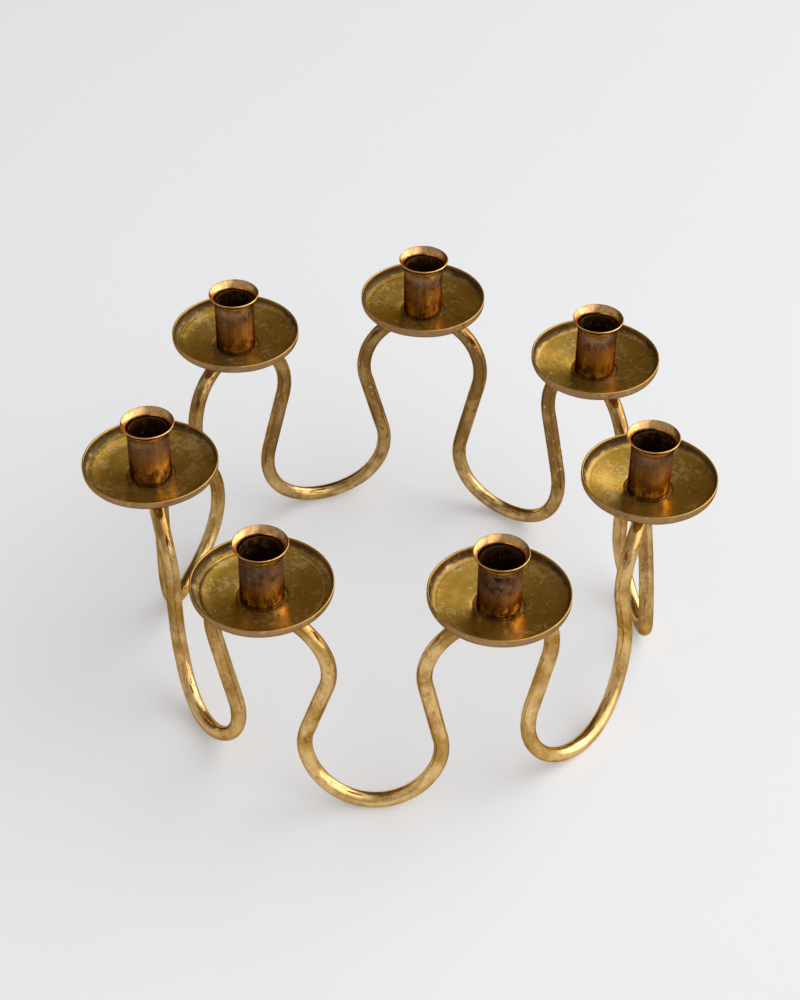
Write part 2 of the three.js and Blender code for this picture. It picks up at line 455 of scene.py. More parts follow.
def build_patina() -> bpy.types.NodeTree:
    """Cloudy tarnish: broad clouds from clean to dull, darker islands, pale blotches and fine mottling.

    Returns:
        The group.
    """
    sketch, given, out = shader_group(
        "cloudy_patina",
        {
            Channel.VECTOR: ("Place",),
            Channel.COLOUR: ("Clean", "Dull", "Dark", "Pale"),
            Channel.NUMBER: ("Cloud Scale", "Dullness", "Darkness", "Mottling", "Blotches"),
        },
        {Channel.COLOUR: ("Colour",), Channel.NUMBER: ("Tarnish", "Relief")},
    )

    def layer(finer: float, detail: float, rough: float = 0.55) -> Socket:
        """Noise that is so many times finer than the clouds."""
        scale = sketch.times(given["Cloud Scale"], finer)
        return sketch.noise(given["Place"], scale, detail, rough)

    clouds = sketch.noise(given["Place"], given["Cloud Scale"], detail=5.0)
    islands = layer(finer=2.6, detail=5.0, rough=0.58)
    grain = layer(finer=11.0, detail=3.0)
    spots = layer(finer=6.0, detail=4.0, rough=0.5)
    crowding, dull_cover, pale_cover, grain_depth = 0.9, 0.6, 0.6, 0.5
    spots = sketch.times(sketch.swing(layer(finer=1.3, detail=2.0)), crowding, spots)
    dull = sketch.spread(clouds, given["Dullness"], none=0.54, full=0.24, edge=0.22)
    dark = sketch.spread(islands, given["Darkness"], none=0.74, full=0.34, edge=0.17)
    pale = sketch.spread(spots, given["Blotches"], none=0.72, full=0.47, edge=0.12)
    mottled = sketch.times(sketch.swing(grain), given["Mottling"], 1.0)
    colour = sketch.mix(dull, given["Clean"], given["Dull"])
    colour = sketch.mix(dark, colour, given["Dark"])
    colour = sketch.mix(sketch.times(pale, pale_cover), colour, given["Pale"])
    tarnish = sketch.most(dark, pale)
    sketch.send(
        out,
        Colour=sketch.shaded(colour, mottled),
        Tarnish=sketch.most(sketch.times(dull, dull_cover), tarnish),
        Relief=sketch.times(grain, grain_depth, islands),
    )
    return sketch.tree


def build_specks() -> bpy.types.NodeTree:
    """Scattered specks: in each cell of a Voronoi pattern a ragged dot of its own size, or none.

    Each cell's random colour gives the chance that it holds a dot, the dot's size and how faint it is.

    Returns:
        The group.
    """
    sketch, given, out = shader_group(
        "scattered_specks",
        {Channel.VECTOR: ("Place",), Channel.NUMBER: ("Speck Scale", "Amount", "Gathering")},
        {Channel.NUMBER: ("Specks",)},
    )
    raggedness, rag_finer, group_finer = 0.7, 1.7, 0.13
    size_power, largest, soft_edge, faintest = 2.5, 0.42, 0.16, 0.3
    place, scale = given["Place"], given["Speck Scale"]
    rags = sketch.node("TexNoise", {"Vector": place, "Scale": sketch.times(scale, rag_finer)})
    reach = sketch.maths("DIVIDE", raggedness, scale)
    ragged = sketch.node("VectorMath", {0: rags.outputs["Color"], "Scale": reach}, operation="SCALE")
    shifted = sketch.node("VectorMath", {0: place, 1: ragged.outputs[0]}, operation="ADD").outputs[0]
    cells = sketch.node("TexVoronoi", {"Vector": shifted, "Scale": scale}).outputs
    chance = sketch.node("SeparateColor", {"Color": cells["Color"]}).outputs
    groups = sketch.noise(place, sketch.times(scale, group_finer), detail=3.0)
    likely = sketch.times(sketch.swing(groups), given["Gathering"], given["Amount"])
    present = sketch.maths("LESS_THAN", chance[0], likely)
    size = sketch.times(sketch.maths("POWER", chance[1], size_power), largest)
    dot = sketch.step(cells["Distance"], sketch.maths("ADD", size, soft_edge), size)
    strength = sketch.times(chance[2], 1 - faintest, faintest)
    sketch.send(out, Specks=sketch.times(sketch.times(present, dot), strength))
    return sketch.tree


def build_edges() -> bpy.types.NodeTree:
    """Worn edges with painted light, and dirt with painted shade in corners and hollows: the mesh's own
    masks, broken up by noise.

    Returns:
        The group.
    """
    sketch, given, out = shader_group(
        "wear_light_dirt_and_shade",
        {Channel.VECTOR: ("Place",), Channel.NUMBER: ("Wear_And_Light", "Shade_And_Grime", "Break Scale")},
        {Channel.NUMBER: ("Rubbed", "Dirty")},
    )
    start, full = 0.12, 0.7
    swing = sketch.swing(sketch.noise(given["Place"], given["Break Scale"], detail=5.0, rough=0.65))
    broken = []
    for mask, strength, average in (("Wear_And_Light", 1.8, 0.9), ("Shade_And_Grime", 1.6, 0.75)):
        level = sketch.times(given[mask], sketch.times(swing, strength, average))
        broken.append(sketch.step(level, start, full))
    sketch.send(out, Rubbed=broken[0], Dirty=broken[1])
    return sketch.tree


@dataclass
class SharedEffects:
    """The effects that more than one finish uses, each built once as a group."""

    patina: bpy.types.NodeTree = field(default_factory=build_patina)
    specks: bpy.types.NodeTree = field(default_factory=build_specks)
    edges: bpy.types.NodeTree = field(default_factory=build_edges)


class Marks(Enum):
    """Which way the fine tool marks of a piece run."""

    ALONG = (0.04, 1.0, 1.0)
    UPRIGHT = (1.0, 1.0, 0.06)
    TURNED = (1.0, 1.0, 1.0)


# How the effects of a finish cover one another
FLAKE_COVER = 0.6
SPECK_COVER = 0.7
SPECK_FILM = 0.3
METAL_UNDER_DIRT_AND_SHADE = -0.7
LEAST_BROWN_FILM_AND_SHADE = 0.75
STREAK_EDGES = (0.42, 0.66)
MIRRORED_AT_NORMAL = 0.2


@dataclass(frozen=True)
class AgedBrass:
    """A finish of aged, uncoated brass.

    Attributes:
        name: The material's name.
        clean: Colour of the metal worn bright, and of the painted light where parts are drawn brighter.
        dull: Colour of its even tarnish.
        dark: Colour of its darkest patches.
        brown: Colour of the brown film where nobody polishes, and of the painted shade on parts drawn darker.
        shade_and_grime: Colour of its dirt, and of the painted shade in its corners and hollows and under
            other parts.
        speck: Colour of its specks and pale blotches.
        cloud: Size of the clouds of tarnish.
        marks: Which way its tool marks run.
        stretch: Scale of the tarnish along each axis, below 1 where it is drawn out.
        dullness: Spread of the even tarnish, from 0 to 1.
        darkness: Spread of the dark patches, from 0 to 1.
        mottling: Strength of the fine mottling.
        blotches: Spread of the pale blotches, from 0 to 1.
        metal: Share of the surface that isn't filmed over.
        smooth: Roughness of clean metal.
        rough: Roughness of tarnished metal.
        speck_size: Size of the cells that may hold a speck.
        speck_amount: Share of them that do.
        flake_size: Size of the cells that may hold a flake, a larger and fainter speck.
        flake_amount: Share of them that do.
        gathering: How strongly both gather in groups.
        streaks: Strength of the streaks in its colour.
        streak_width: Width of those streaks.
        edge: Tint of what it mirrors at a glancing angle.
        mark_width: Distance between the tool marks.
        mark_depth: Share of the tool marks in the relief.
        relief: Depth of the relief.
    """

    name: str
    clean: Colour
    dull: Colour
    dark: Colour
    brown: Colour
    shade_and_grime: Colour
    speck: Colour
    cloud: float
    marks: Marks
    stretch: Triple = (1.0, 1.0, 1.0)
    dullness: float = 0.5
    darkness: float = 0.3
    mottling: float = 0.5
    blotches: float = 0.3
    metal: float = 1.0
    smooth: float = 0.22
    rough: float = 0.5
    speck_size: float = 0.0022
    speck_amount: float = 0.1
    flake_size: float = 0.005
    flake_amount: float = 0.0
    gathering: float = 0.8
    streaks: float = 0.3
    streak_width: float = 0.003
    edge: Colour = (0.5, 0.36, 0.2, 1)
    mark_width: float = 0.0006
    mark_depth: float = 0.4
    relief: float = 0.00006

    def material(self, effects: SharedEffects) -> bpy.types.Material:
        """Builds the finish from the shared effects, round one Principled BSDF.

        Args:
            effects: The shared groups.

        Returns:
            The material.
        """
        material = bpy.data.materials.new(self.name)
        material.use_nodes = True
        sketch = NodeSketch(material.node_tree)
        place = sketch.attribute(SPACE, "Vector")
        given = {
            "Place": sketch.scaled(place, self.stretch),
            "Clean": self.clean,
            "Dull": self.dull,
            "Dark": self.dark,
            "Pale": self.speck,
            "Cloud Scale": 1 / self.cloud,
            "Dullness": self.dullness,
            "Darkness": self.darkness,
            "Mottling": self.mottling,
            "Blotches": self.blotches,
        }
        patina = sketch.group(effects.patina, given)
        spots = []
        for size, amount in ((self.speck_size, self.speck_amount), (self.flake_size, self.flake_amount)):
            given = {"Place": place, "Speck Scale": 1 / size, "Amount": amount, "Gathering": self.gathering}
            spots.append(sketch.group(effects.specks, given)["Specks"])
        specks = sketch.times(spots[1], FLAKE_COVER, spots[0])
        given = {
            "Place": place,
            "Wear_And_Light": sketch.attribute(WEAR_AND_LIGHT),
            "Shade_And_Grime": sketch.attribute(SHADE_AND_GRIME),
            "Break Scale": 2 / self.cloud,
        }
        edges = sketch.group(effects.edges, given)
        rubbed_and_lit, shaded_and_dirty = edges["Rubbed"], edges["Dirty"]
        cloudy = sketch.times(patina["Tarnish"], 2 * (1 - LEAST_BROWN_FILM_AND_SHADE), LEAST_BROWN_FILM_AND_SHADE)
        # Brown film and painted shade: the mesh's mask, where parts are drawn browner and darker.
        brown_filmed_and_shaded = sketch.times(sketch.attribute(BROWN_FILM_AND_SHADE), cloudy)
        streak = sketch.step(self.drawn_out(sketch, place, self.streak_width), *STREAK_EDGES)
        colour = sketch.mix(brown_filmed_and_shaded, patina["Colour"], self.brown)
        # Wear and painted light: the clean colour where worn, and where the rods are drawn brighter.
        colour = sketch.mix(rubbed_and_lit, colour, self.clean)
        colour = sketch.mix(sketch.times(streak, self.streaks), colour, self.dark)
        # Dirt and painted shade: the dark colour in corners, creases, the bore and under the dishes.
        colour = sketch.mix(shaded_and_dirty, colour, self.shade_and_grime)
        colour = sketch.mix(sketch.times(specks, SPECK_COVER), colour, self.speck)
        tarnish = sketch.times(patina["Tarnish"], sketch.maths("SUBTRACT", 1.0, rubbed_and_lit))
        cover = sketch.most(shaded_and_dirty, sketch.times(specks, SPECK_FILM))
        dull = sketch.most(tarnish, sketch.most(shaded_and_dirty, specks))
        marks = self.drawn_out(sketch, place, self.mark_width)
        height = sketch.times(marks, self.mark_depth, patina["Relief"])
        bump = sketch.node("Bump", {"Height": height, "Strength": 1.0, "Distance": self.relief})
        surface = sketch.node(
            "BsdfPrincipled",
            {
                "Base Color": colour,
                "Metallic": sketch.times(cover, METAL_UNDER_DIRT_AND_SHADE, self.metal),
                "Roughness": sketch.times(dull, self.rough - self.smooth, self.smooth),
                "Specular IOR Level": MIRRORED_AT_NORMAL,
                "Specular Tint": self.edge,
                "Normal": bump.outputs[0],
            },
        )
        sketch.node("OutputMaterial", {"Surface": surface.outputs[0]})
        return material

    def drawn_out(self, sketch: NodeSketch, place: Socket, width: float) -> Socket:
        """Lines: noise drawn out one way or, on a turned piece, noise of the radius and height alone.

        Args:
            sketch: The sketch of the material.
            place: Coordinates on the piece.
            width: Width of the lines.

        Returns:
            The noise.
        """
        if self.marks is Marks.TURNED:
            x, y, height = sketch.node("SeparateXYZ", {0: place}).outputs
            square = sketch.times(x, x, sketch.times(y, y))
            radius = sketch.maths("SQRT", square)
            place = sketch.node("CombineXYZ", {0: radius, 2: height}).outputs[0]
        return sketch.noise(sketch.scaled(place, self.marks.value), 1 / width, detail=3.0)


# Sub-assemblies


@dataclass
class RodRing:
    """The bent rod, in one length for each crest, joined end to end under the dishes.

    Attributes:
        layout: Where the parts stand.
        diameter: The rod's diameter.
        crest_bend: Radius of the rod's middle over a crest.
        undercut: How far a lower bend reaches back under the crest beside it.
        foot_flat: Depth of the flat filed where the rod stands.
        seat_flat: Depth of the flat filed where a dish sits.
        joint_offset: Distance from a crest back to the brazed joint.
        squeeze: Share by which the section flattens in a bend.
        unevenness: Depth of the long, faint waves in the surface.
        waves: Those waves: radians for a metre of rod, turns round the section and shift for each arm.
        foot_wear: Height to which the feet are rubbed bright.
        rubbing_and_light: How far the rod is drawn worn bright towards the floor: wear, and painted light.
        lit_and_rubbed: Heights at which that starts to fade and ends.
        dirt_and_shade: How dark the crests are drawn under their dishes, as painted shade.
        shade_and_dirt_reach: How far down that painted shade reaches.
        upper_shade: How much browner and darker the crests are drawn, as painted shade under the dishes.
        upper: Heights at which that starts and is full.
        steps: Rings of points along a length.
        sides: Points round the section.
    """

    layout: RingLayout
    diameter: float = 0.009
    crest_bend: float = 0.038
    undercut: float = 0.0135
    foot_flat: float = 0.0004
    seat_flat: float = 0.0006
    joint_offset: float = 0.016
    squeeze: float = 0.02
    unevenness: float = 0.00004
    waves: tuple[Triple, ...] = ((290, 1, 1), (470, -2, 2.3), (830, 3, 0))
    foot_wear: float = 0.0012
    rubbing_and_light: float = 0.4
    lit_and_rubbed: Pair = (0.015, 0.075)
    dirt_and_shade: float = 0.5
    shade_and_dirt_reach: float = 0.004
    upper_shade: float = 0.2
    upper: Pair = (0.06, 0.13)
    steps: int = 420
    sides: int = 36

    def flat_wave(self, pitch: float, foot_drift: float) -> np.ndarray:
        """One pitch of the rod's middle line drawn flat, in even steps.

        An arc over the crest, a straight leg, an arc round the foot, a leg and an arc towards the next
        crest. The legs are the common tangents of the arcs. They meet them at the angles down and up.

        Args:
            pitch: Distance along the ring to the next crest.
            foot_drift: How much nearer to the first crest the foot stands.

        Returns:
            Points as (distance along the ring, height).
        """
        radius = self.diameter / 2
        crest_mid = self.layout.seat_level + self.seat_flat - radius - self.crest_bend
        foot_bend = pitch / 2 - self.crest_bend + self.undercut
        foot_mid = radius - self.foot_flat + foot_bend
        foot = pitch / 2 - foot_drift
        across, drop = np.array([foot, pitch - foot]), foot_mid - crest_mid
        reach = np.hypot(across, drop)
        down, up = np.arctan2(drop, across) + np.arccos((self.crest_bend + foot_bend) / reach)
        joint = math.pi / 2 + math.asin(self.joint_offset / self.crest_bend)
        arcs = []
        for middle, level, bend, start, end in (
            (0, crest_mid, self.crest_bend, joint, down),
            (foot, foot_mid, foot_bend, math.pi + down, 2 * math.pi - up),
            (pitch, crest_mid, self.crest_bend, math.pi - up, joint),
        ):
            turn = np.linspace(start, end, self.steps)
            arcs.append(np.column_stack([middle + bend * np.cos(turn), level + bend * np.sin(turn)]))
        line = np.concatenate(arcs)
        run = np.concatenate([[0], np.cumsum(np.linalg.norm(np.diff(line, axis=0), axis=1))])
        even = np.linspace(0, run[-1], self.steps + 1)
        return np.column_stack([np.interp(even, run, line[:, 0]), np.interp(even, run, line[:, 1])])

    def middle_line(self, arm: int) -> np.ndarray:
        """The flat wave wrapped round the ring's axis.

        Its radius goes from one crest's to the next by a smooth step of the distance between the joints'
        places beside them, and changes by the foot's reach in a smooth step of the depth below the joints.

        Args:
            arm: The crest that this length of rod carries, from 0.

        Returns:
            Points as (x, y, z).
        """
        after = (arm + 1) % len(ARMS)
        start = self.layout.bearings[arm]
        pitch = (start - self.layout.bearings[after]) % (2 * math.pi) * RING_RADIUS
        wave = self.flat_wave(pitch, ARMS[arm].foot_drift)
        onward = smooth_step(wave[:, 0], self.joint_offset, pitch - self.joint_offset)
        lowness = smooth_step(-wave[:, 1], -wave[0, 1], -wave[:, 1].min())
        reach = ARMS[arm].crest_reach * (1 - onward) + ARMS[after].crest_reach * onward
        radius = RING_RADIUS + reach + ARMS[arm].foot_reach * lowness
        angle = start - wave[:, 0] / RING_RADIUS
        x, y = self.layout.axis
        return np.column_stack([x + radius * np.cos(angle), y + radius * np.sin(angle), wave[:, 1]])

    def mesh(self, arm: int) -> bpy.types.Mesh:
        """Carries the section along the middle line, with one axis of it towards the ring's axis.

        The section is an ellipse that flattens with the line's curvature. Its radius swells and shrinks by
        a few sines of the distance along and the angle round. Points past the filed flats are laid on them.

        Args:
            arm: The crest that this length of rod carries, from 0.

        Returns:
            The mesh.
        """
        line = self.middle_line(arm)
        tangent = np.gradient(line, axis=0)
        step = np.linalg.norm(tangent, axis=1, keepdims=True)
        tangent /= step
        outward = line - [*self.layout.axis, 0]
        outward[:, 2] = 0
        outward -= (outward * tangent).sum(axis=1, keepdims=True) * tangent
        outward /= np.linalg.norm(outward, axis=1, keepdims=True)
        sideways = np.cross(tangent, outward)
        bend = np.linalg.norm(np.gradient(tangent, axis=0), axis=1, keepdims=True) / step
        flatten = self.squeeze * np.clip(bend * self.crest_bend, 0, 1)
        turn = np.linspace(0, 2 * math.pi, self.sides, endpoint=False)
        run = np.cumsum(step)[:, None]
        waves = sum(np.sin(rate * run + turns * turn + shift * arm) for rate, turns, shift in self.waves)
        radius = self.diameter / 2 + self.unevenness * (waves / len(self.waves) - 1)
        out_part = radius * np.cos(turn)
        side_part = radius * np.sin(turn) * (1 - flatten)
        grid = line[:, None] + out_part[..., None] * outward[:, None]
        grid += side_part[..., None] * sideways[:, None]
        grid[..., 2] = np.clip(grid[..., 2], 0, self.layout.seat_level)
        height = grid[..., 2]
        along = (run + ROD_STEP * arm).repeat(self.sides, axis=1)
        space = np.stack([along, out_part, side_part], axis=-1)
        # Wear and painted light: the rod drawn cleaner and brighter towards the floor.
        lit_and_rubbed = self.rubbing_and_light * (1 - smooth_step(height, *self.lit_and_rubbed))
        masks = {
            WEAR_AND_LIGHT: np.maximum(closeness(height, self.foot_wear), lit_and_rubbed),
            # Painted shade: the rod darkens just under each dish.
            SHADE_AND_GRIME: self.dirt_and_shade * closeness(self.layout.seat_level - height, self.shade_and_dirt_reach),
            # Brown film and painted shade: each arm's tarnish, and the crests drawn darker towards the
            # dishes.
            BROWN_FILM_AND_SHADE: np.clip(ARMS[arm].tarnish + self.upper_shade * smooth_step(height, *self.upper), 0, 1),
        }
        return grid_mesh(f"rod_length_{arm + 1}", grid, False, space, masks)


@dataclass
class DripDish:
    """A spun dish: a low cone with a pressed seat in its middle and an upright wall.

    Attributes:
        layout: Where the parts stand.
        radius: Outside of the wall.
        depth: From the underside of the seat up to the rim.
        sheet: Thickness of the metal.
        corner: Inside radius between floor and wall.
        crease_radius: Where the floor is creased, short of the wall.
        crease_height: Height of the floor's top at the crease.
        crease_cut: Depth of the crease at its deepest.
        creases: Share of that depth on each dish.
        inner_shoulder: From the crease to the floor's shoulder inside it, as outwards and up.
        outer_shoulder: The same for the shoulder outside it.
        floor_rise: Height of the floor's line at the wall over the crease.
        lift: How far the floor bends up towards the crease and the corner.
        lift_width: Distance over which it bends up.
        lifts: Share of that lift on each dish.
        seat_radius: Radius of the pressed seat.
        seat_depth: Depth of the pressed seat.
        hole_radius: Radius of the screw's hole.
        edge_round: Rounding of the hole's edges.
        bend_round: Rounding of the bends in the sheet.
        crease_round: Rounding in the bottom of the crease.
        under_round: Rounding of the bend under the crease.
        rim_round: Rounding of the rim.
        wobble: Height of the waves in the rim.
        wobbles: Those waves, as lobes.
        still: How far out they start, as a share of the seat's radius.
        ring_height: Height of the faint rings from spinning.
        ring_turns: Their radians from the middle to the wall.
        ring_swerve: Their swerve round the dish, in radians.
        ring_zone: Where they lie, as shares of the radius.
        wall_shade: How much browner and darker the inner wall is drawn, as painted shade.
        dirt_and_shade: How the dirt and painted shade vary round the dish, as lobes about a half.
        least_shade_and_dirt: The least of that.
        crease_shade_and_dirt: How dark a full crease is drawn: dirt, and painted shade.
        seat_shade_and_dirt: How dark the seat's edge is drawn: dirt, and painted shade.
        wall_shade_and_dirt: Darkening of the inner wall by dirt and painted shade: everywhere, in its
            patches, and painted shade on the left.
        wall_span: Places in the outline's order where the inner wall begins, is full, fades and ends.
        shade_and_dirt_reach: How far that dirt and painted shade reach from the crease and the seat's edge.
        rim_wear: How far the rim is rubbed.
        sides: Points round the dish.
    """

    layout: RingLayout
    radius: float = 0.0384
    depth: float = 0.01175
    sheet: float = 0.001
    corner: float = 0.0032
    crease_radius: float = 0.033
    crease_height: float = 0.0055
    crease_cut: float = 0.0003
    creases: tuple[float, ...] = (0.15, 0.0, 0.1, 0.0, 1.0, 0.15, 0.4)
    inner_shoulder: Pair = (-0.0006, -0.00012)
    outer_shoulder: Pair = (0.0008, 0.00015)
    floor_rise: float = 0.0011
    lift: float = 0.0005
    lift_width: float = 0.0065
    lifts: tuple[float, ...] = (0.1, 0.0, 0.0, 0.1, 1.0, 1.4, 1.1)
    seat_radius: float = 0.0136
    seat_depth: float = 0.0008
    hole_radius: float = 0.0023
    edge_round: float = 0.0001
    bend_round: float = 0.0003
    crease_round: float = 0.0002
    under_round: float = 0.002
    rim_round: float = 0.00042
    wobble: float = 0.00012
    wobbles: tuple[Triple, ...] = ((1, 2, 1.9), (0.5, 3, 1), (0.3, 7, 4))
    still: float = 1.1
    ring_height: float = 0.00002
    ring_turns: float = 31.0
    ring_swerve: float = 2.0
    ring_zone: Pair = (0.42, 0.84)
    wall_shade: float = 0.5
    dirt_and_shade: tuple[Triple, ...] = ((0.35, 1, 2.6), (0.25, 3, 1.1))
    least_shade_and_dirt: float = 0.05
    crease_shade_and_dirt: float = 1.2
    seat_shade_and_dirt: float = 0.5
    wall_shade_and_dirt: Triple = (0.5, 0.3, 0.4)
    wall_span: tuple[float, ...] = (6.35, 6.7, 7.15, 7.6)
    shade_and_dirt_reach: float = 0.001
    rim_wear: float = 0.00045
    sides: int = 144

    def outline(self, arm: int) -> list[Triple]:
        """The section's corners with their fillets, from the hole out along the underside and back.

        Args:
            arm: The crest that carries the dish, from 0.

        Returns:
            Corners as (radius, height, fillet).
        """
        inside = self.radius - self.sheet
        slope = self.seat_radius + self.seat_depth / 2
        floor_edge = self.crease_height + self.floor_rise
        crease = np.array([self.crease_radius, self.crease_height])
        cut = self.crease_cut * self.creases[arm]
        return [
            (self.hole_radius, 0, self.edge_round),
            (self.seat_radius, 0, self.bend_round),
            (slope, self.seat_depth, self.bend_round),
            (self.crease_radius, self.crease_height - self.sheet, self.under_round),
            (self.radius, floor_edge - self.sheet, self.corner + self.sheet),
            (self.radius, self.depth, self.rim_round),
            (inside, self.depth, self.rim_round),
            (inside, floor_edge, self.corner),
            (*(crease + self.outer_shoulder), self.bend_round),
            (self.crease_radius, self.crease_height - cut, self.crease_round),
            (*(crease + self.inner_shoulder), self.bend_round),
            (slope, self.sheet + self.seat_depth, self.bend_round),
            (self.seat_radius, self.sheet, self.bend_round),
            (self.hole_radius, self.sheet, self.edge_round),
        ]

    def order(self, profile: np.ndarray) -> np.ndarray:
        """Where each point of the section lies in the outline's order: 5.5 is between its corners 5 and 6."""
        return np.arange(len(profile)) * len(self.outline(0)) / len(profile)

    def brown_film_and_shade(self, profile: np.ndarray) -> np.ndarray:
        """The brown film, whole from the hole out to the rim and none on the floor, and less of it on the
        inner wall as painted shade.

        Args:
            profile: The section's points.

        Returns:
            How brown and dark each point is drawn.
        """
        rim_outside, rim_inside = 5, 6
        film = 1 - smooth_step(self.order(profile), rim_outside, rim_inside)
        # Painted shade: the inner wall drawn browner and darker.
        return np.maximum(film, self.wall_shade * self.inner_wall(profile))

    def inner_wall(self, profile: np.ndarray) -> np.ndarray:
        """Where the dish is drawn darker by painted shade and dirt: 1 on the inside of the wall, 0 at the rim
        and on the floor.

        Args:
            profile: The section's points.

        Returns:
            A value for each point.
        """
        order = self.order(profile)
        start, full, fading, end = self.wall_span
        return smooth_step(order, start, full) * (1 - smooth_step(order, fading, end))

    def shade_and_grime(self, profile: np.ndarray, turn: np.ndarray, arm: int) -> np.ndarray:
        """Dirt and painted shade in the crease, at the seat's edge and on the inner wall, where the left has
        most painted shade.

        Args:
            profile: The section's points.
            turn: The angle of each point of the grid round the dish.
            arm: The crest that carries the dish, from 0.

        Returns:
            How dark each point of the grid is drawn.
        """
        patchy = np.clip(0.5 + lobes(turn, arm, *self.dirt_and_shade), self.least_shade_and_dirt, 1)
        # Dirt and painted shade in the crease and at the seat's edge.
        in_crease = near(profile, (self.crease_radius, self.crease_height), self.shade_and_dirt_reach)
        at_seat = near(profile, (self.seat_radius, self.sheet), self.shade_and_dirt_reach)
        in_crease *= self.crease_shade_and_dirt * self.creases[arm]
        floor = np.maximum(patchy * in_crease, self.seat_shade_and_dirt * at_seat)
        # Dirt and painted shade on the inner wall, with painted shade most on the left.
        everywhere, in_patches, on_left = self.wall_shade_and_dirt
        wall = everywhere + in_patches * patchy + on_left * (1 - np.cos(turn)) / 2
        return np.maximum(floor, wall * self.inner_wall(profile)[:, None])

    def lifted(self, profile: np.ndarray) -> np.ndarray:
        """How far each point is bent up: by a parabola out to the crease, fading up the wall to the rim."""
        rise = np.clip(1 + (profile[:, 0] - self.crease_radius) / self.lift_width, 0, 1) ** 2
        return self.lift * rise * (1 - smooth_step(profile[:, 1], self.crease_height, self.depth))

    def mesh(self, arm: int) -> bpy.types.Mesh:
        """Revolves the section, with faint waves that grow as the cube of the radius towards the rim.

        Args:
            arm: The crest that carries the dish, from 0.

        Returns:
            The mesh.
        """
        profile = filleted(self.outline(arm), arc_steps=6, run_steps=9)
        local = revolved(profile, self.sides)
        turn = np.arctan2(local[..., 1], local[..., 0])
        reach = np.hypot(local[..., 0], local[..., 1]) / self.radius
        off_seat = reach > self.still * self.seat_radius / self.radius
        local[..., 2] += self.wobble * reach**3 * off_seat * lobes(turn, arm, *self.wobbles)
        in_zone = (reach > self.ring_zone[0]) * (reach < self.ring_zone[1])
        swerve = self.ring_swerve * np.sin(turn + arm)
        local[..., 2] += self.ring_height * np.sin(reach * self.ring_turns + swerve) * in_zone
        local[..., 2] += self.lifts[arm] * self.lifted(profile)[:, None]
        masks = {
            WEAR_AND_LIGHT: near(profile, (self.radius - self.sheet / 2, self.depth), self.rim_wear),
            SHADE_AND_GRIME: self.shade_and_grime(profile, turn, arm),
            BROWN_FILM_AND_SHADE: self.brown_film_and_shade(profile)[:, None],
        }
        grid = local + [*self.layout.dishes[arm], self.layout.seat_level]
        space = local + [0, 0, DISH_STEP * (arm + 1)]
        return grid_mesh(f"dish_{arm + 1}", grid, True, space, masks)


